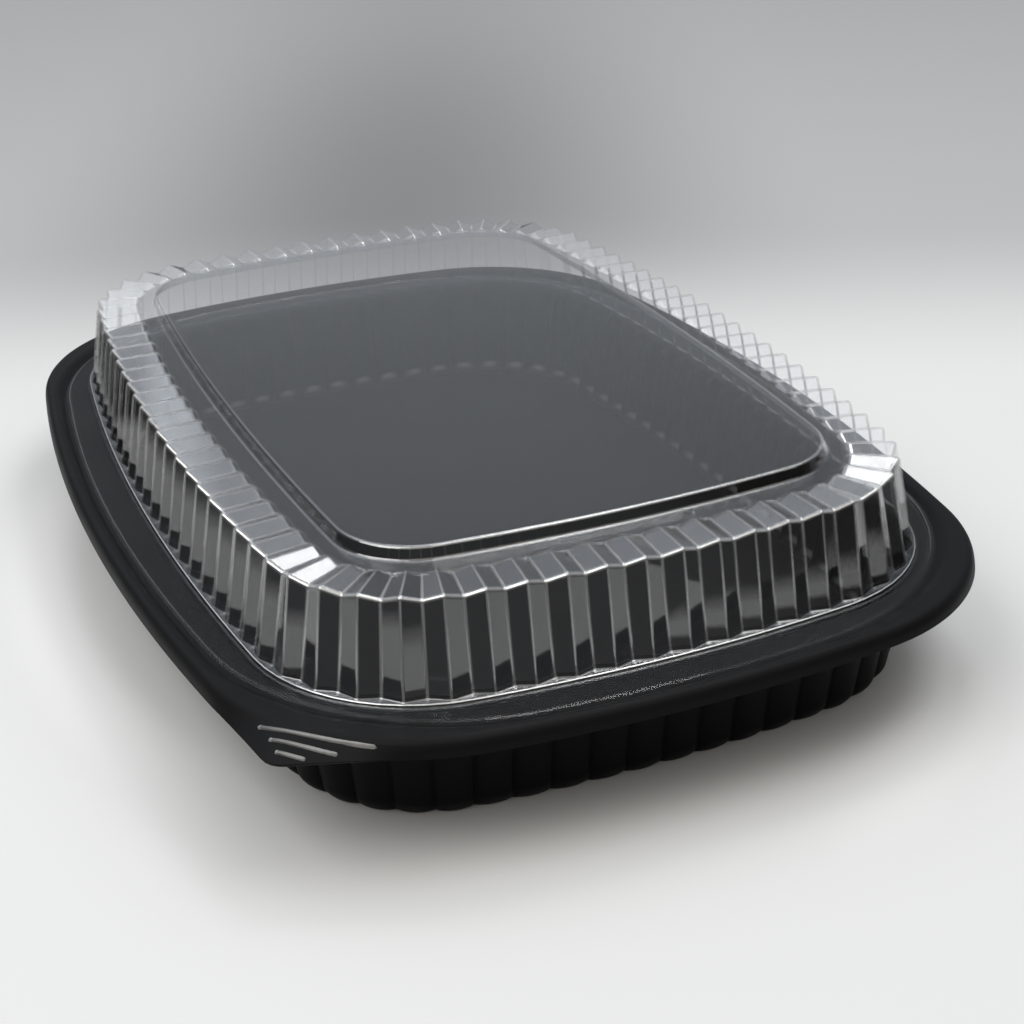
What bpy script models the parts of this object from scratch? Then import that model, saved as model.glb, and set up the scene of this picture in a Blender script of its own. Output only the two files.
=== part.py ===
# Takeaway meal container: a fluted black tray and the fluted clear lid that sits in its rim.
# Both are thin formed sheets, so each is lofted as an open skin and given its wall by Solidify.
# Long sides run along Y, the ribbed lifting tab is at the -X -Y corner, and the tray stands on z = 0.

import bpy
import bmesh
import numpy as np
from mathutils.geometry import convex_hull_2d

MM = 0.001

FLUTES = 82
TRAY_WALL = 0.7 * MM
LID_WALL = 0.5 * MM
GAP = 0.3 * MM

# Plan outlines have bowed sides and round corners:
# half width, half length, corner radius, bow of the long sides, bow of the short sides
RIM = np.array([107.0, 150.0, 58.0, 17.1, 14.8]) * MM
FLUTE_LINE = np.array([85.8, 128.7, 38.5, 10.5, 9.5]) * MM
PANEL = np.array([66.4, 109.3, 20.3, 5.0, 5.0]) * MM
RECESS_TOP = np.array([103.6, 146.6, 68.0, 17.1, 14.8]) * MM
RECESS_FOOT = np.array([102.0, 145.0, 70.0, 17.1, 14.8]) * MM
LID_EDGE = np.array([101.0, 144.0, 67.0, 17.1, 14.8]) * MM

# The tab slopes down and out from the rim's crest; its ribs run across its diagonal
TAB_CENTRE = np.array([-89.0, -127.3]) * MM
TAB_RADIUS = 6.4 * MM
TAB_DRAWN_OUT = 9.1 * MM
DIAGONAL = np.array([-1.0, -1.0]) / np.sqrt(2)
ACROSS = np.array([1.0, -1.0]) / np.sqrt(2)
RIB_LENGTHS = (29.0 * MM, 16.7 * MM, 7.3 * MM)
RIB_WIDTH = 1.5 * MM
RIB_RISE = 0.6 * MM
RIB_START = 150.9 * MM
RIB_PITCH = 2.7 * MM
RIB_SHIFT = 32.8 * MM
RIB_SHIFT_STEP = -1.5 * MM

RIM_TOP = 33.2 * MM
LIP_BOTTOM = 29.0 * MM
LIP_ROUND = 1.4 * MM
CREST_INSET = 1.9 * MM
TAB_CREST = 148.3 * MM
TAB_RIB_SINK = 0.45 * MM
SEAT_TOP = 31.5 * MM
LEDGE = 32.8 * MM
WALL_TOP = 56.0 * MM
SHELF = 56.0 * MM
LID_TOP = 59.2 * MM


def grown(shape, distance):
    """The same outline moved outward by a distance, its corners staying round."""
    return shape + np.array([distance, distance, distance, 0.0, 0.0])


def outline(shape, steps=40):
    """Closed plan polygon of one outline, from its parabolic sides and corner arcs."""
    half_x, half_y, radius, bow_x, bow_y = shape
    centre = np.array([half_x - radius, half_y - radius])
    for _ in range(40):
        touch_y = centre[1]
        touch_x = centre[0]
        for _ in range(12):
            slope = 2 * bow_x * touch_y / half_y ** 2
            side = np.array([1.0, slope]) / np.hypot(1.0, slope)
            touch_y = centre[1] + radius * side[1]
            slope = 2 * bow_y * touch_x / half_x ** 2
            end = np.array([slope, 1.0]) / np.hypot(1.0, slope)
            touch_x = centre[0] + radius * end[0]
        centre[0] = half_x - bow_x * (touch_y / half_y) ** 2 - radius * side[0]
        centre[1] = half_y - bow_y * (touch_x / half_x) ** 2 - radius * end[1]
    along = np.linspace(0, touch_y, steps)
    across = np.linspace(touch_x, 0, steps)
    angles = np.linspace(np.arctan2(side[1], side[0]), np.arctan2(end[1], end[0]), steps)[1:-1]
    quarter = np.concatenate([
        np.stack([half_x - bow_x * (along / half_y) ** 2, along], 1),
        centre + radius * np.stack([np.cos(angles), np.sin(angles)], 1),
        np.stack([across, half_y - bow_y * (across / half_x) ** 2], 1),
    ])
    half = np.concatenate([quarter, (quarter * [-1, 1])[::-1][1:]])
    return np.concatenate([half, (half * [1, -1])[::-1][1:-1]])


def rim_outline(inset, reach):
    """The tray's outer outline; reach 0 to 1 draws the pointed tab out of one corner."""
    turn = np.linspace(0, 2 * np.pi, 48, endpoint=False)
    middle = TAB_CENTRE - DIAGONAL * TAB_DRAWN_OUT * (1 - reach)
    disc = middle + (TAB_RADIUS - inset) * np.stack([np.cos(turn), np.sin(turn)], 1)
    points = np.concatenate([outline(grown(RIM, -inset)), disc])
    return points[convex_hull_2d([tuple(point) for point in points])]


def flute_stations():
    """Points evenly spaced along the flute line, grooves and ridges in turn, with outward normals."""
    polygon = outline(FLUTE_LINE, 120)
    start = np.argmin(np.abs(polygon[:, 0]) + (polygon[:, 1] > 0) * 9)
    polygon = np.roll(polygon, -start, 0)
    closed = np.concatenate([polygon, polygon[:1]])
    steps = np.hypot(*np.diff(closed, axis=0).T)
    travelled = np.concatenate([[0.0], np.cumsum(steps)])
    wanted = np.arange(2 * FLUTES) * travelled[-1] / (2 * FLUTES)

    def at(distance):
        distance = np.mod(distance, travelled[-1])
        return np.stack([np.interp(distance, travelled, closed[:, axis]) for axis in (0, 1)], 1)

    reach = travelled[-1] / (4 * FLUTES)
    tangent = at(wanted + reach) - at(wanted - reach)
    tangent /= np.hypot(*tangent.T)[:, None]
    normal = np.stack([tangent[:, 1], -tangent[:, 0]], 1)
    return at(wanted), normal


STATIONS, NORMALS = flute_stations()


def offset_ring(groove, ridge, groove_z, ridge_z):
    """Ring that weaves between the grooves and the ridges, offset from the flute line."""
    out = np.where(np.arange(2 * FLUTES) % 2 == 0, groove, ridge)
    height = np.where(np.arange(2 * FLUTES) % 2 == 0, groove_z, ridge_z)
    return np.column_stack([STATIONS + NORMALS * out[:, None], height])


def outline_ring(polygon, z):
    """Ring on a plan outline, met by the flute line's normals."""
    following = np.roll(polygon, -1, 0)
    edge = following - polygon
    points = []
    for start, normal in zip(STATIONS, NORMALS):
        gap = polygon - start
        cross = normal[0] * edge[:, 1] - normal[1] * edge[:, 0]
        cross = np.where(np.abs(cross) < 1e-15, 1e-15, cross)
        travel = (gap[:, 0] * edge[:, 1] - gap[:, 1] * edge[:, 0]) / cross
        along = (gap[:, 0] * normal[1] - gap[:, 1] * normal[0]) / cross
        hit = travel[(along >= -1e-9) & (along <= 1 + 1e-9)].max()
        points.append([*(start + normal * hit), z])
    return np.array(points)


def lofted_skin(name, rings, wall, collection, material):
    """Open skin through the rings, its first ring capped, thickened by Solidify towards -normal."""
    mesh = bmesh.new()
    loops = [[mesh.verts.new(point) for point in ring] for ring in rings]
    count = len(loops[0])
    mesh.faces.new(loops[0])
    for inner, outer in zip(loops, loops[1:]):
        for index in range(count):
            after = (index + 1) % count
            mesh.faces.new([inner[index], outer[index], outer[after], inner[after]])
    bmesh.ops.recalc_face_normals(mesh, faces=mesh.faces)
    cap = min(mesh.faces, key=lambda face: -len(face.verts))
    if cap.normal.z * (1 if rings[0][0][2] > SHELF else -1) < 0:
        bmesh.ops.reverse_faces(mesh, faces=mesh.faces)
    data = bpy.data.meshes.new(name)
    mesh.to_mesh(data)
    mesh.free()
    data.materials.append(material)
    piece = bpy.data.objects.new(name, data)
    collection.objects.link(piece)
    solidify = piece.modifiers.new("wall", "SOLIDIFY")
    solidify.thickness = wall
    solidify.offset = -1.0
    solidify.use_even_offset = True
    return piece


def plastic(name, colour, roughness, alpha):
    """Principled plastic with one colour."""
    material = bpy.data.materials.new(name)
    material.use_nodes = True
    shader = material.node_tree.nodes["Principled BSDF"]
    shader.inputs["Base Color"].default_value = (*colour, 1.0)
    shader.inputs["Roughness"].default_value = roughness
    shader.inputs["Metallic"].default_value = 0.0
    shader.inputs["Alpha"].default_value = alpha
    return material


def tab_ribs(guides):
    """Three bars that run across the sloping tab, shorter towards its tip; they join the tray."""
    slope = (RIM_TOP - LIP_BOTTOM) / (TAB_DRAWN_OUT + CREST_INSET)
    bars = []
    for index, length in enumerate(RIB_LENGTHS):
        distance = RIB_START + index * RIB_PITCH
        middle = DIAGONAL * distance + ACROSS * (RIB_SHIFT + index * RIB_SHIFT_STEP)
        mesh = bmesh.new()
        bmesh.ops.create_cube(mesh, size=1.0)
        for vert in mesh.verts:
            taper = 0.55 if vert.co.z > 0 else 1.0
            out = vert.co.y * RIB_WIDTH * taper
            plan = middle + ACROSS * vert.co.x * (length - RIB_WIDTH * (1 - taper)) + DIAGONAL * out
            surface = RIM_TOP - (distance + out - TAB_CREST) * slope
            vert.co = (*plan, surface + (RIB_RISE if vert.co.z > 0 else -TAB_RIB_SINK))
        bmesh.ops.recalc_face_normals(mesh, faces=mesh.faces)
        data = bpy.data.meshes.new(f"tab_rib_{index}")
        mesh.to_mesh(data)
        mesh.free()
        bar = bpy.data.objects.new(f"tab_rib_{index}", data)
        guides.objects.link(bar)
        bar.hide_render = True
        bar.display_type = "WIRE"
        bars.append(bar)
    return bars


def tray(collection, guides):
    """Black tray: flat foot, tapered fluted wall, flat seat, rolled rim with a turned-down lip."""
    seat_under = SEAT_TOP - TRAY_WALL
    rim_under = RIM_TOP - TRAY_WALL
    rings = [
        offset_ring(-2.2 * MM, -1.0 * MM, 0.0, 0.0),
        offset_ring(-0.3 * MM, 1.3 * MM, 2.5 * MM, 2.5 * MM),
        offset_ring(4.0 * MM, 5.6 * MM, 28.8 * MM, 28.8 * MM),
        offset_ring(6.4 * MM, 6.4 * MM, seat_under, seat_under),
        outline_ring(outline(RECESS_FOOT), seat_under),
        outline_ring(outline(RECESS_TOP), rim_under),
        outline_ring(rim_outline(CREST_INSET, 0.0), rim_under),
        outline_ring(rim_outline(TRAY_WALL + 0.3 * MM, 0.45), rim_under - LIP_ROUND),
        outline_ring(rim_outline(TRAY_WALL, 1.0), LIP_BOTTOM),
    ]
    material = plastic("tray_black", (0.012, 0.012, 0.013), 0.38, 1.0)
    piece = lofted_skin("tray", rings, TRAY_WALL, collection, material)
    for bar in tab_ribs(guides):
        join = piece.modifiers.new(bar.name, "BOOLEAN")
        join.operation = "UNION"
        join.solver = "EXACT"
        join.object = bar
    return piece


def lid(collection):
    """Clear lid: raised panel, flat shelf, fluted shoulder and wall, flat flange with a raised lip."""
    flange = SEAT_TOP + GAP + LID_WALL
    rings = [
        outline_ring(outline(PANEL), LID_TOP),
        outline_ring(outline(grown(PANEL, 1.2 * MM)), SHELF),
        offset_ring(-12.0 * MM, -12.6 * MM, SHELF, SHELF),
        offset_ring(-11.0 * MM, -10.8 * MM, SHELF, SHELF + 1.1 * MM),
        offset_ring(-2.4 * MM, -1.2 * MM, WALL_TOP - 0.6 * MM, WALL_TOP + 0.9 * MM),
        offset_ring(-1.1 * MM, 0.7 * MM, WALL_TOP - 1.9 * MM, WALL_TOP - 0.8 * MM),
        offset_ring(3.5 * MM, 5.0 * MM, LEDGE + 1.2 * MM, LEDGE + 0.4 * MM),
        offset_ring(5.4 * MM, 5.4 * MM, LEDGE, LEDGE),
        outline_ring(outline(grown(LID_EDGE, -4.0 * MM)), flange),
        outline_ring(outline(grown(LID_EDGE, -3.2 * MM)), flange + 0.6 * MM),
        outline_ring(outline(LID_EDGE), flange + 0.3 * MM),
    ]
    material = plastic("lid_clear", (0.80, 0.83, 0.85), 0.06, 0.25)
    return lofted_skin("lid", rings, LID_WALL, collection, material)


def build():
    for old in list(bpy.data.objects):
        bpy.data.objects.remove(old, do_unlink=True)
    parts = bpy.data.collections.new("takeaway_meal_container")
    guides = bpy.data.collections.new("guides")
    bpy.context.scene.collection.children.link(parts)
    bpy.context.scene.collection.children.link(guides)
    tray(parts, guides)
    lid(parts)


build()
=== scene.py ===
import bmesh
import bpy
import numpy as np
from mathutils import Matrix, Vector
from mathutils.bvhtree import BVHTree
from mathutils.geometry import convex_hull_2d


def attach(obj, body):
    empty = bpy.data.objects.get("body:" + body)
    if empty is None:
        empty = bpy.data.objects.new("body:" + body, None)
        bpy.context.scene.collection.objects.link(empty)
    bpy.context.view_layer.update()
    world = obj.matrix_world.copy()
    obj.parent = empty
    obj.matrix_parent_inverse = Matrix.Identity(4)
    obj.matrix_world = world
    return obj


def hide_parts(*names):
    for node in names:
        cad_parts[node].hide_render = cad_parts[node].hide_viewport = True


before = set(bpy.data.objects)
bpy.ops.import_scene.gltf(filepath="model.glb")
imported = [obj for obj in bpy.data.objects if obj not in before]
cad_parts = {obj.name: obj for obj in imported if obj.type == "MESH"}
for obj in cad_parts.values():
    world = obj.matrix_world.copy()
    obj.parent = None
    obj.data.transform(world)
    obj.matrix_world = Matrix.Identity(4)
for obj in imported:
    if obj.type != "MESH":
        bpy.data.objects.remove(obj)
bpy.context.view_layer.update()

# The tray: one black polypropylene sheet, vacuum formed over a fluted mould and trimmed round its lip.
# It has a flat foot, a tapered wall of convex flutes, a flat seat for the lid and a wide rolled rim,
# which is drawn out into one pointed lifting tab. Sizes are in mm.

MM = 0.001
TRAY_SHEET = 0.7
RIM_TOP = 33.2
SEAT_TOP = 31.5
LIP_BOTTOM = 29.0

# Plan outlines: half width, half length, corner radius, bow of the long sides, bow of the short sides
FLUTE_LINE = (85.8, 128.7, 38.5, 10.5, 9.5)
RIM = (107.0, 150.0, 58.0, 17.1, 14.8)
RECESS_TOP = (103.6, 146.6, 68.0, 17.1, 14.8)
RECESS_FOOT = (102.0, 145.0, 70.0, 17.1, 14.8)

TAB_CENTRE = np.array([-89.0, -127.3])
TAB_RADIUS = 6.4
TAB_DRAWN_OUT = 9.1
DIAGONAL = np.array([-1.0, -1.0]) / np.sqrt(2)

FLUTES = 82
LOBE_PHASES = (0, 0.03, 0.08, 0.15, 0.25, 0.37, 0.5, 0.63, 0.75, 0.85, 0.92, 0.97)

# How much of a flute a rounded fold takes, how far its painted glint spreads past it, how much of a side
# a bend's rounding may take, and how far in from a trimmed edge its last bend is held
FOLD_ROUND = 0.045
FOLD_GLINT = 1.6
LONGEST_ROUND = 0.45
EDGE_HOLD = 0.15

TRAY_BLACK = (0.0045, 0.0045, 0.0048, 1)
TRAY_PAINTED_HIGHLIGHT = (0.11, 0.112, 0.115, 1)


def plan_outline(half_x, half_y, radius, bow_x, bow_y, grow=0.0, steps=90):
    """Closed outline in mm seen from above: bowed sides, round corners, moved outward by grow."""
    half_x, half_y, radius = half_x + grow, half_y + grow, radius + grow
    centre = np.array([half_x - radius, half_y - radius])
    # The corner's circle settles where it touches both of the bowed sides
    for _ in range(40):
        touch_x, touch_y = centre
        for _ in range(12):
            side = np.array([1.0, 2 * bow_x * touch_y / half_y ** 2])
            side /= np.hypot(*side)
            end = np.array([2 * bow_y * touch_x / half_x ** 2, 1.0])
            end /= np.hypot(*end)
            touch_y = centre[1] + radius * side[1]
            touch_x = centre[0] + radius * end[0]
        centre[0] = half_x - bow_x * (touch_y / half_y) ** 2 - radius * side[0]
        centre[1] = half_y - bow_y * (touch_x / half_x) ** 2 - radius * end[1]
    along = np.linspace(0, touch_y, steps)
    across = np.linspace(touch_x, 0, steps)
    turn = np.linspace(np.arctan2(side[1], side[0]), np.arctan2(end[1], end[0]), steps)[1:-1]
    quarter = np.concatenate([
        np.stack([half_x - bow_x * (along / half_y) ** 2, along], 1),
        centre + radius * np.stack([np.cos(turn), np.sin(turn)], 1),
        np.stack([across, half_y - bow_y * (across / half_x) ** 2], 1),
    ])
    half = np.concatenate([quarter, (quarter * [-1, 1])[::-1][1:]])
    return np.concatenate([half, (half * [1, -1])[::-1][1:-1]])


def rim_outline(inset, reach):
    """The tray's outer outline; reach 0 to 1 draws the pointed tab out of one corner."""
    turn = np.linspace(0, 2 * np.pi, 48, endpoint=False)
    tip = TAB_CENTRE - DIAGONAL * TAB_DRAWN_OUT * (1 - reach)
    disc = tip + (TAB_RADIUS - inset) * np.stack([np.cos(turn), np.sin(turn)], 1)
    points = np.concatenate([plan_outline(*RIM, grow=-inset), disc])
    return points[convex_hull_2d([tuple(point) for point in points])]


class Bend:
    """One bend of a sheet's section: how far out and how high it lies, how much of it is rounded off,
    and how strongly its line, and the flutes' folds that cross it, get a painted glint."""

    def __init__(self, out, height, rounded=0.0, glint=0.0, folds=0.0):
        self.out = out
        self.height = height
        self.rounded = rounded
        self.glint = glint
        self.folds = folds


class FluteStations:
    """Points along the flute line, at the same phases in every flute, with their outward normals."""

    def __init__(self, phases):
        polygon = plan_outline(*FLUTE_LINE, steps=240)
        start = np.argmin(np.where(polygon[:, 1] > 0, np.inf, np.abs(polygon[:, 0])))
        polygon = np.roll(polygon, -start, 0)
        closed = np.concatenate([polygon, polygon[:1]])
        travelled = np.concatenate([[0.0], np.cumsum(np.hypot(*np.diff(closed, axis=0).T))])
        pitch = travelled[-1] / FLUTES

        def at(distance):
            distance = np.mod(distance, travelled[-1])
            return np.stack([np.interp(distance, travelled, closed[:, axis]) for axis in (0, 1)], 1)

        self.phase = np.tile(phases, FLUTES)
        distance = (np.repeat(np.arange(FLUTES), len(phases)) + self.phase) * pitch
        self.points = at(distance)
        tangent = at(distance + pitch / 2) - at(distance - pitch / 2)
        tangent /= np.hypot(*tangent.T)[:, None]
        self.normals = np.stack([tangent[:, 1], -tangent[:, 0]], 1)

    def reach(self, polygon):
        """How far each station's normal travels before it meets a plan outline."""
        following = np.roll(polygon, -1, 0)
        edge = following - polygon
        travels = []
        for start, normal in zip(self.points, self.normals):
            gap = polygon - start
            cross = normal[0] * edge[:, 1] - normal[1] * edge[:, 0]
            cross = np.where(np.abs(cross) < 1e-12, 1e-12, cross)
            travel = (gap[:, 0] * edge[:, 1] - gap[:, 1] * edge[:, 0]) / cross
            along = (gap[:, 0] * normal[1] - gap[:, 1] * normal[0]) / cross
            travels.append(travel[(along >= -1e-9) & (along <= 1 + 1e-9)].max())
        return np.array(travels)

    def turned(self, x, y, away, toward):
        """A painted glint of toward where the wall faces the direction x, y, and of away where it faces
        away.
        """
        share = self.normals @ (np.array([x, y]) / np.hypot(x, y))
        return away + (toward - away) * np.clip(0.5 + share, 0, 1)

    def rings(self, bends, steps):
        """Rings of points in metres through a section of bends; the fourth number is the painted glint.
        """
        count = len(self.points)
        near_fold = np.minimum(self.phase % 0.5, 0.5 - self.phase % 0.5)
        on_fold = np.clip(FOLD_GLINT - FOLD_GLINT * near_fold / FOLD_ROUND, 0, 1)
        knots = [np.stack([np.broadcast_to(bend.out, count), np.broadcast_to(bend.height, count)], 1)
                 for bend in bends]
        section = [(knots[0], bends[0], 0.0)]
        for before, knot, after, bend in zip(knots, knots[1:], knots[2:], bends[1:]):
            curve = []
            for neighbour, cut in zip((before, after), np.broadcast_to(bend.rounded, 2)):
                side = neighbour - knot
                length = np.hypot(*side.T)[:, None]
                curve.append(knot + side / length * np.minimum(cut, LONGEST_ROUND * length))
            for share in np.linspace(0, 1, steps + 1):
                rest = 1 - share
                ring = rest ** 2 * curve[0] + 2 * share * rest * knot + share ** 2 * curve[1]
                section.append((ring, bend, 1 - abs(2 * share - 1)))
        side = knots[-2] - knots[-1]
        section.append((knots[-1] + side / np.hypot(*side.T)[:, None] * EDGE_HOLD, bends[-1], 0.0))
        section.append((knots[-1], bends[-1], 0.0))
        return [
            np.column_stack([(self.points + self.normals * ring[:, :1]) * MM, ring[:, 1] * MM,
                             np.maximum(bend.glint * midway, bend.folds * on_fold)])
            for ring, bend, midway in section
        ]


def finished_object(mesh, name):
    """A new object in the scene that holds a finished bmesh."""
    data = bpy.data.meshes.new(name)
    mesh.to_mesh(data)
    mesh.free()
    made = bpy.data.objects.new(name, data)
    bpy.context.scene.collection.objects.link(made)
    return made


def extruded(mesh, loop):
    """Extrudes a closed loop of edges in place; returns its new vertices and its new loop."""
    grown = bmesh.ops.extrude_edge_only(mesh, edges=loop)["geom"]
    fresh = [part for part in grown if isinstance(part, bmesh.types.BMVert)]
    known = set(fresh)
    return fresh, [part for part in grown if isinstance(part, bmesh.types.BMEdge)
                   and known.issuperset(part.verts)]


def formed_sheet(name, rings, thickness, upward):
    """One formed sheet: a capped ring extruded edge by edge through the others, then given its wall."""
    mesh = bmesh.new()
    glint = mesh.verts.layers.float.new("glint")
    verts = bmesh.ops.create_circle(mesh, cap_ends=True, segments=len(rings[0]), radius=1.0)["verts"]
    order = {vert: index for index, vert in enumerate(verts)}
    for vert, index in order.items():
        vert.co = rings[0][index][:3]
    loop = mesh.edges[:]
    for ring in rings[1:]:
        fresh, loop = extruded(mesh, loop)
        order = {vert: order[edge.other_vert(vert)] for vert in fresh for edge in vert.link_edges
                 if edge.other_vert(vert) in order}
        for vert, index in order.items():
            vert.co = ring[index][:3]
            vert[glint] = ring[index][3]
    bmesh.ops.recalc_face_normals(mesh, faces=mesh.faces)
    cap = max(mesh.faces, key=lambda face: len(face.verts))
    if (cap.normal.z > 0) == upward:
        bmesh.ops.reverse_faces(mesh, faces=mesh.faces)
    for face in mesh.faces:
        face.smooth = True
    piece = finished_object(mesh, name)
    wall = piece.modifiers.new("wall", "SOLIDIFY")
    wall.thickness = thickness * MM
    wall.offset = -1.0
    wall.use_even_offset = True
    shading = piece.modifiers.new("flat_faces_stay_flat", "WEIGHTED_NORMAL")
    shading.weight = 100
    return piece


class Socket:
    """A shader value that can be used in sums, so that a pattern reads as a formula."""

    def __init__(self, tree, link):
        self.tree = tree
        self.link = link

    def node(self, kind, settings, output, **inputs):
        """Any node: its settings, which output counts, and its inputs by name or by number, as i0."""
        made = self.tree.nodes.new(kind)
        for key, value in settings.items():
            setattr(made, key, value)
        for key, value in inputs.items():
            socket = made.inputs[int(key[1:]) if key[1:].isdigit() else key]
            if isinstance(value, Socket):
                self.tree.links.new(value.link, socket)
            else:
                socket.default_value = value
        return Socket(self.tree, made.outputs[output])

    def math(self, operation, other=0.0):
        return self.node("ShaderNodeMath", {"operation": operation}, 0, i0=self, i1=other)

    def __add__(self, other):
        return self.math("ADD", other)

    __radd__ = __add__

    def __mul__(self, other):
        return self.math("MULTIPLY", other)

    __rmul__ = __mul__

    def __sub__(self, other):
        return self.math("SUBTRACT", other)

    def __rsub__(self, other):
        return (self * -1.0) + other

    def __pow__(self, other):
        return self.math("POWER", other)

    def __abs__(self):
        return self.math("ABSOLUTE")

    def between(self, low, high, to_low=0.0, to_high=1.0):
        """A smooth step: to_low up to low, to_high from high on."""
        return self.node("ShaderNodeMapRange", {"interpolation_type": "SMOOTHSTEP"}, 0,
                         i0=self, i1=low, i2=high, i3=to_low, i4=to_high)

    def blend(self, at_zero, at_one):
        """The colour between two colours, with this value as the share of the second."""
        return self.node("ShaderNodeMix", {"data_type": "RGBA"}, 2, i0=self, i6=at_zero, i7=at_one)

    def along(self, direction):
        """How far this vector goes in one direction."""
        return self.node("ShaderNodeVectorMath", {"operation": "DOT_PRODUCT"}, 1,
                         i0=self, i1=direction)


class Finish:
    """A new material with its Principled shader, and the place on the surface to base a pattern on."""

    def __init__(self, name):
        self.material = bpy.data.materials.new(name)
        self.material.use_nodes = True
        self.tree = self.material.node_tree
        self.shader = self.tree.nodes["Principled BSDF"]
        self.output = self.tree.nodes["Material Output"]
        self.place = Socket(self.tree, self.tree.nodes.new("ShaderNodeTexCoord").outputs["Object"])

    def attribute(self, name):
        """A number that the mesh carries at its vertices."""
        return self.place.node("ShaderNodeAttribute", {"attribute_name": name}, 2)

    def speckle(self, size, detail):
        """Noise whose features are about size metres across."""
        return self.place.node("ShaderNodeTexNoise", {}, 0, Vector=self.place, Scale=1 / size,
                               Detail=detail)

    def feed(self, name, value):
        """Sets one input of the shader to a number, a colour or a pattern."""
        if isinstance(value, Socket):
            self.tree.links.new(value.link, self.shader.inputs[name])
        else:
            self.shader.inputs[name].default_value = value

    def bump(self, height, distance, strength):
        """Fine relief that only the light sees."""
        self.feed("Normal", height.node("ShaderNodeBump", {}, 0, Height=height, Distance=distance,
                                        Strength=strength))


tray_flutes = FluteStations(LOBE_PHASES)
lobe = np.abs(np.sin(np.pi * tray_flutes.phase)) ** 0.6
seat_under = SEAT_TOP - TRAY_SHEET
rim_under = RIM_TOP - TRAY_SHEET
tray = formed_sheet("tray_sheet", tray_flutes.rings([
    # the flat foot and its fluted edge
    Bend(-9.0, 0.0),
    Bend(-2.2 + 1.2 * lobe, 0.0, 1.0),
    # the wall's flutes, whose lower ends get a painted highlight on the far side, as seen through the
    # lid
    Bend(-0.3 + 1.6 * lobe, 2.5, 1.6, glint=lobe ** 4 * tray_flutes.turned(0.4, 1.0, 0.1, 1.0)),
    Bend(4.0 + 1.6 * lobe, 28.8, 1.2),
    # the seat and the step up to the rim
    Bend(6.4, seat_under, 1.0),
    Bend(tray_flutes.reach(plan_outline(*RECESS_FOOT)), seat_under, 0.6),
    Bend(tray_flutes.reach(plan_outline(*RECESS_TOP)), rim_under, 0.9),
    # the rim, which rolls down to its lip and out into the tab
    Bend(tray_flutes.reach(rim_outline(1.9, 0.0)), rim_under, 0.9),
    Bend(tray_flutes.reach(rim_outline(TRAY_SHEET + 0.3, 0.45)), rim_under - 1.4, 0.9),
    Bend(tray_flutes.reach(rim_outline(TRAY_SHEET, 1.0)), LIP_BOTTOM),
], 3), TRAY_SHEET, True)

black = Finish("tray_black_sheet")
grain = black.speckle(0.0012, 4.0)
cloud = black.speckle(0.03, 3.0)
# painted highlight: the base colour turns paler where the sheet's glint lies, at the flutes' lower ends
black.feed("Base Color", black.attribute("glint").blend(TRAY_BLACK, TRAY_PAINTED_HIGHLIGHT))
black.feed("Roughness", cloud.between(0.3, 0.7, 0.42, 0.50) + grain * 0.02)
black.feed("Specular IOR Level", 0.07)
black.bump(grain, 0.01 * MM, 0.6)
tray.data.materials.append(black.material)
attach(tray, "root")
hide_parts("tray")

# The tab's ribs: three straight beads pressed out of the tray's own sheet, so that fingers grip the tab.
# They lie across its slope, one behind the other, shorter towards the tip, and are paler towards one end
# and at the tip of the other.

ACROSS = np.array([1.0, -1.0]) / np.sqrt(2)
RIB_LENGTHS = (29.0, 16.7, 7.3)
RIB_START = 150.9
RIB_PITCH = 2.7
RIB_SHIFT = 32.8
RIB_SHIFT_STEP = -1.5
RIB_HALF_WIDTH = 0.45
RIB_RISE = 0.45
TAB_CREST = 148.3
TAB_SLOPE = 0.38
SEARCH_ABOVE = 1.0
PALE_TIP = 0.93
PALE_MIDDLE = 0.55
PALE_CHANGE = 0.45
RIB_BLACK = (0.01, 0.01, 0.01, 1)
RIB_PALE = (0.17, 0.167, 0.163, 1)

tray_shape = BVHTree.FromObject(tray, bpy.context.evaluated_depsgraph_get())
ribs = bmesh.new()
paleness = ribs.verts.layers.float.new("paleness")
for index, length in enumerate(RIB_LENGTHS):
    bead = bmesh.ops.create_uvsphere(ribs, u_segments=16, v_segments=40, radius=1.0)["verts"]
    distance = RIB_START + index * RIB_PITCH
    rib_centre = DIAGONAL * distance + ACROSS * (RIB_SHIFT + index * RIB_SHIFT_STEP)
    straight = length / 2 - RIB_HALF_WIDTH
    for vert in bead:
        along = (1 - 2 * np.arccos(np.clip(vert.co.z, -1, 1)) / np.pi) * length / 2
        past_straight = max(abs(along) - straight, 0) / RIB_HALF_WIDTH
        girth = np.sqrt(max(1 - past_straight ** 2, 0))
        round_it = np.arctan2(vert.co.y, vert.co.x)
        out = np.cos(round_it) * girth * RIB_HALF_WIDTH
        plan = rib_centre + ACROSS * along + DIAGONAL * out
        slope_height = RIM_TOP - (distance + out - TAB_CREST) * TAB_SLOPE
        start = Vector((plan[0], plan[1], slope_height + SEARCH_ABOVE)) * MM
        surface = tray_shape.find_nearest(start)[0]
        vert.co = surface + Vector((0, 0, np.sin(round_it) * girth * RIB_RISE * MM))
        if along < -PALE_TIP * straight:
            vert[paleness] = 1.0
        else:
            vert[paleness] = PALE_MIDDLE + PALE_CHANGE * along / straight
for face in ribs.faces:
    face.smooth = True
bmesh.ops.recalc_face_normals(ribs, faces=ribs.faces)
tab_ribs = finished_object(ribs, "tab_ribs")

rib_finish = Finish("tray_black_ribs")
rib_paleness = rib_finish.attribute("paleness").between(0.0, 0.8, 0.3, 1.0)
rib_paleness = rib_paleness * rib_finish.speckle(0.003, 2.0).between(0.3, 0.7, 0.8, 1.0)
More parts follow.
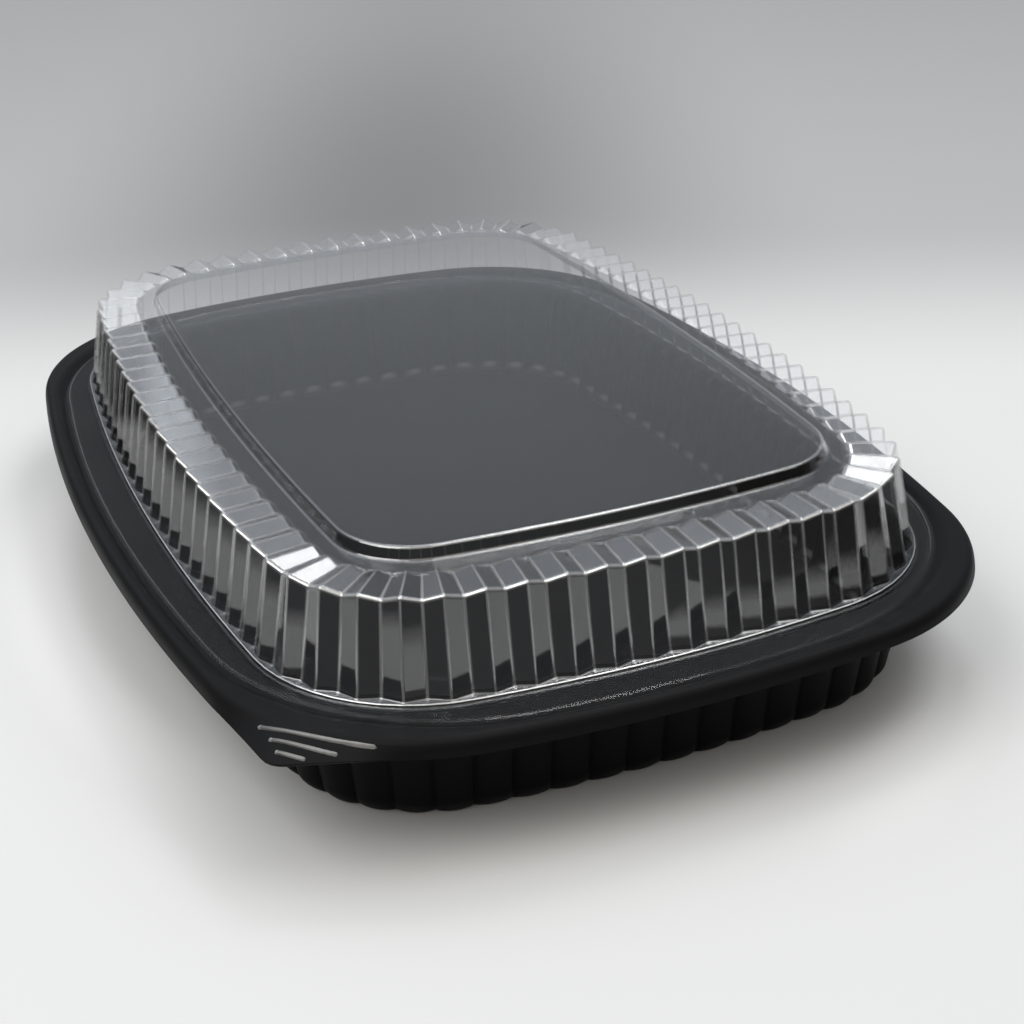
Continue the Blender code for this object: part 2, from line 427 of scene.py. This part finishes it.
# the ribs' colour is paler towards one end of each rib and at the other tip, broken by a speckle
rib_finish.feed("Base Color", rib_paleness.blend(RIB_BLACK, RIB_PALE))
rib_finish.feed("Roughness", 0.3)
tab_ribs.data.materials.append(rib_finish.material)
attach(tab_ribs, "root")
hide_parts("tray")

# The lid: one clear polyester sheet, vacuum formed with a raised panel, a fluted shoulder and wall,
# and a flat flange that rests in the tray's rim. Its folds are rounded as a warm sheet rounds them.

PANEL = (66.4, 109.3, 20.3, 5.0, 5.0)
LID_EDGE = (101.0, 144.0, 67.0, 17.1, 14.8)
LID_SHEET = 0.35
LID_TOP = 59.2
SHELF = 56.0
LEDGE = 33.3
FLANGE = 32.3
FOLD_PHASES = (0, 0.02, 0.045, 0.455, 0.48, 0.5, 0.52, 0.545, 0.955, 0.98)
FACE_ON_MIRROR = 0.062
GRAZING_MIRROR = 0.94
FLANGE_MIRROR = 0.13
FOLD_MIRROR = 0.7

lid_flutes = FluteStations(FOLD_PHASES)
to_ridge = np.abs(lid_flutes.phase - 0.5)
to_groove = 0.5 - to_ridge
fold = 1 - 2 * to_ridge
fold = np.where(to_ridge < FOLD_ROUND, 1 - FOLD_ROUND - to_ridge ** 2 / FOLD_ROUND, fold)
fold = np.where(to_groove < FOLD_ROUND, FOLD_ROUND + to_groove ** 2 / FOLD_ROUND, fold)


def woven(groove, ridge):
    """A size that swings between the grooves and the ridges of the folds."""
    return groove + (ridge - groove) * fold


def panel_reach(grow):
    """How far out the panel's outline lies, moved outward by grow."""
    return lid_flutes.reach(plan_outline(*PANEL, grow=grow))


def edge_reach(grow):
    """How far out the lid's trimmed edge lies, moved outward by grow."""
    return lid_flutes.reach(plan_outline(*LID_EDGE, grow=grow))


lid = formed_sheet("lid_sheet", lid_flutes.rings([
    # the raised panel and its step down to the shelf
    Bend(panel_reach(-3.0), LID_TOP),
    Bend(panel_reach(0.0), LID_TOP, 0.8, glint=lid_flutes.turned(0.6, -1.0, 0.03, 0.2)),
    Bend(panel_reach(1.2), SHELF, 0.7, glint=0.04),
    # the fluted shoulder
    Bend(woven(-12.0, -12.6), SHELF, 0.4, glint=0.04),
    Bend(woven(-11.0, -11.2), woven(55.7, 57.2), 0.6, glint=0.06, folds=0.12),
    Bend(woven(-0.9, 0.7), woven(55.3, 57.0), 1.0, glint=lid_flutes.turned(-0.4, -1.0, 0.08, 0.36),
         folds=lid_flutes.turned(-0.4, -1.0, 0.06, 0.2)),
    # the foot of the fluted wall, its ledge with a painted bright glint and the step down to the flange
    Bend(woven(3.5, 5.0), LEDGE, (4.5, 0.4), folds=lid_flutes.turned(-1.0, 0.1, 0.08, 0.18)),
    Bend(5.75, LEDGE - 0.15, 0.3, glint=lid_flutes.turned(-0.4, -1.0, 0.1, 0.7)),
    Bend(6.1, FLANGE, 0.5, glint=0.05),
    # the flange's raised lip, with a painted glint along the long sides
    Bend(edge_reach(-1.6), FLANGE, 0.3, glint=0.02),
    Bend(edge_reach(-1.0), FLANGE + 0.6, 0.3, glint=np.abs(lid_flutes.normals[:, 0]) ** 3 * 0.16),
    Bend(edge_reach(0.0), FLANGE + 0.3),
], 4), LID_SHEET, False)

clear = Finish("lid_clear_sheet")
facing = clear.place.node("ShaderNodeLayerWeight", {}, 1, Blend=0.5)
# painted highlights: along its folds and bends the glint turns the clear sheet partly mirror and partly
# matte white, set stronger on the sides where highlights fall
glint = clear.attribute("glint")
clear.feed("Base Color", (0.95, 0.95, 0.95, 1))
clear.feed("Metallic", glint.between(0.0, 0.1, 1.0, 0.68))
clear.feed("Roughness", glint * 0.25 + 0.03)
see_through = clear.place.node("ShaderNodeBsdfTransparent", {}, 0, Color=(0.99, 0.99, 0.99, 1))
clear_height = clear.place.node("ShaderNodeSeparateXYZ", {}, 2, i0=clear.place)
above_seat = clear_height.between((FLANGE + 0.6) * MM, (FLANGE + 0.8) * MM, FLANGE_MIRROR, 1.0)
shine = ((facing ** 5.0) * GRAZING_MIRROR + FACE_ON_MIRROR) * above_seat + glint * FOLD_MIRROR
skin = shine.node("ShaderNodeMixShader", {}, 0, i0=shine, i1=see_through)
clear.tree.links.new(clear.shader.outputs["BSDF"], skin.link.node.inputs[2])
clear.tree.links.new(skin.link, clear.output.inputs["Surface"])
lid.data.materials.append(clear.material)
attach(lid, "root")
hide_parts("lid")

# The table: a wide pale matte top, with painted light and shade in its colour: painted dimmer away
# behind the container, a painted shade darkest behind its middle, and a painted pool of light in a band
# beside the container's near half.

VIEW_TURN = np.radians(22.184)
TABLE_NEAR = (0.518, 0.518, 0.515, 1)
TABLE_FAR_PAINTED_DIM = (0.338, 0.339, 0.344, 1)
TABLE_PAINTED_SHADE_MIDDLE = (0.13, 0.131, 0.133, 1)
TABLE_PAINTED_LIGHT_BAND = (0.605, 0.605, 0.602, 1)

away = Vector((np.sin(VIEW_TURN), np.cos(VIEW_TURN), 0))
rightward = Vector((away.y, -away.x, 0))
table_top = bmesh.new()
bmesh.ops.create_grid(table_top, x_segments=1, y_segments=1, size=6.0)
floor = finished_object(table_top, "floor")

pale = Finish("pale_table")
depth = pale.place.along(away)
beside = pale.place.along(rightward)
# painted shade, darkest behind the container's middle
painted_shade_behind = (abs(beside + 0.03).between(0.0, 0.21, 1.0, 0.0)
              * depth.between(0.14, 0.34) * depth.between(0.3, 0.9, 0.8, 0.25))
in_rims = pale.place.node("ShaderNodeVectorMath", {"operation": "MULTIPLY"}, 0, i0=pale.place,
                          i1=(1 / (RIM[0] * MM), 1 / (RIM[1] * MM), 0))
beyond = in_rims.node("ShaderNodeVectorMath", {"operation": "LENGTH"}, 1, i0=in_rims)
# a painted pool of light in a band beside the container's near half
painted_light_band = (beyond.between(0.98, 1.08) * beyond.between(1.1, 1.27, 1.0, 0.0)
        * depth.between(0.03, 0.10, 1.0, 0.0) * abs(beside - 0.02).between(0.05, 0.11))
# painted falloff of light: the top greys away behind the container
painted_light_falloff = depth.between(0.10, 0.30).blend(TABLE_NEAR, TABLE_FAR_PAINTED_DIM)
pale.feed("Base Color", painted_light_band.blend(painted_shade_behind.blend(painted_light_falloff, TABLE_PAINTED_SHADE_MIDDLE), TABLE_PAINTED_LIGHT_BAND))
pale.feed("Roughness", 0.7)
pale.feed("Specular IOR Level", 0.0)
floor.data.materials.append(pale.material)

# The dark card: the unlit table round the lit part of it, as the clear lid mirrors it. It is a flat
# dark sheet with a hole round the container, whose edge fades, and only reflections see it.

CARD_HOLE = (
    (0.28, -0.12), (0.28, 0.3), (-0.2, 0.3), (-0.2, 0.15), (-0.275, 0.15), (-0.275, -0.05),
    (-0.29, -0.19), (-0.2, -0.2), (-0.05, -0.3), (-0.05, -0.36), (0.03, -0.38), (0.11, -0.37),
    (0.2, -0.31), (0.2, -0.24), (0.15, -0.175), (0.15, -0.15),
)
CARD_FADE = 1.14
CARD_REACH = 8.0
CARD_HEIGHT = 0.001

card_sheet = bmesh.new()
shaded = card_sheet.verts.layers.float.new("shaded")
hole = bmesh.ops.create_circle(card_sheet, cap_ends=False, segments=len(CARD_HOLE), radius=1.0)["verts"]
for vert, (x, y) in zip(hole, CARD_HOLE):
    vert.co = (x, y, CARD_HEIGHT)
card_loop = card_sheet.edges[:]
for grow in (CARD_FADE, CARD_REACH):
    outer, card_loop = extruded(card_sheet, card_loop)
    bmesh.ops.scale(card_sheet, vec=(grow, grow, 1), verts=outer)
    for vert in outer:
        vert[shaded] = 1.0
bmesh.ops.recalc_face_normals(card_sheet, faces=card_sheet.faces)
card = finished_object(card_sheet, "dark_card")
card.visible_camera = False
card.visible_diffuse = False
card.visible_transmission = False
card.visible_shadow = False

dark = Finish("dark_card")
dark.feed("Base Color", (0.03, 0.03, 0.03, 1))
dark.feed("Roughness", 1.0)
dark.feed("Alpha", dark.attribute("shaded"))
card.data.materials.append(dark.material)

# The room: it is dim in front and brighter behind the container and overhead, warm in front and cool
# behind. Its light changes softly with direction, which gives the clear lid's faces their tones.

WARM = (1.03, 1.0, 0.94, 1)
COOL = (0.94, 1.0, 1.08, 1)

world = bpy.data.worlds.new("room")
bpy.context.scene.world = world
world.use_nodes = True
room = world.node_tree
room_light = room.nodes["Background"]
direction = Socket(room, room.nodes.new("ShaderNodeTexCoord").outputs["Generated"])
skyward = direction.node("ShaderNodeSeparateXYZ", {}, 2, i0=direction)
sideways = direction.node("ShaderNodeSeparateXYZ", {}, 0, i0=direction)
behind = direction.along(away)
left_low = skyward.between(0.02, 0.22, 1.0, 0.0) * sideways.between(-0.35, -0.1, 1.0, 0.0)
left_high = (skyward.between(0.28, 0.48, 0.0, 0.5) * sideways.between(0.02, 0.16, 1.0, 0.0)
             * behind.between(0.3, 0.6))
back_glow = behind.between(-0.1, 0.5, 0.04, 0.39) * (1.0 - left_low) + left_high
bright_strip = sideways.between(0.10, 0.13, 0.0, 1.5) * sideways.between(0.14, 0.19, 1.0, 0.0)
ceiling_glow = skyward.between(0.52, 0.88) * (behind.between(-0.2, 0.3, 0.35, 1.55) + bright_strip)
front_glow = skyward.between(0.3, 0.6) * behind.between(-0.3, 0.2, 0.9, 0.0)
room.links.new(behind.between(-0.2, 0.4).blend(WARM, COOL).link, room_light.inputs["Color"])
room.links.new((back_glow + ceiling_glow + front_glow).link, room_light.inputs["Strength"])

# The lamps: three soft boxes over the table. The small one mirrors as the white slabs on the lid's near
# corners, the long one hangs overhead on the right, and the large one fills the left side.


def softbox(name, azimuth, elevation, distance, size, luminance):
    """A soft lamp seen from the container in one direction, in degrees, at a distance in metres."""
    azimuth, elevation = np.radians(azimuth), np.radians(elevation)
    toward = Vector((np.sin(azimuth) * np.cos(elevation), np.cos(azimuth) * np.cos(elevation),
                     np.sin(elevation)))
    data = bpy.data.lights.new(name, "AREA")
    data.shape = "RECTANGLE"
    data.size, data.size_y = size
    data.energy = luminance * np.pi * size[0] * size[1]
    lamp = bpy.data.objects.new(name, data)
    lamp.location = toward * distance
    lamp.rotation_euler = toward.to_track_quat("Z", "Y").to_euler()
    bpy.context.scene.collection.objects.link(lamp)


softbox("window", azimuth=52.3, elevation=69.6, distance=0.8, size=(0.19, 0.19), luminance=6.5)
softbox("overhead", azimuth=125, elevation=66, distance=1.2, size=(0.6, 0.35), luminance=4.0)
softbox("left_fill", azimuth=-105, elevation=50, distance=1.3, size=(1.0, 0.8), luminance=3.5)

# The camera: where the photograph was taken from, about 24 cm above the table, leaned a little.
# Its place, aim and lens are fitted to the outlines of the tray and the lid.

EYE = Vector((-166.0, -447.7, 243.1)) * MM
LOOK_AT = Vector((-4.07, -50.5, 33.2)) * MM
ROLL = np.radians(-2.03)

lens = bpy.data.cameras.new("camera")
lens.lens = 64.1
lens.sensor_width = 36.0
lens.clip_start = 0.01
camera = bpy.data.objects.new("camera", lens)
back = (EYE - LOOK_AT).normalized()
right = Vector((0, 0, 1)).cross(back).normalized()
up = back.cross(right)
leaned_right = right * np.cos(ROLL) + up * np.sin(ROLL)
leaned_up = up * np.cos(ROLL) - right * np.sin(ROLL)
turn = Matrix((leaned_right, leaned_up, back)).transposed().to_4x4()
camera.matrix_world = Matrix.Translation(EYE) @ turn
bpy.context.scene.collection.objects.link(camera)
bpy.context.scene.camera = camera
bpy.context.scene.view_settings.view_transform = "Standard"
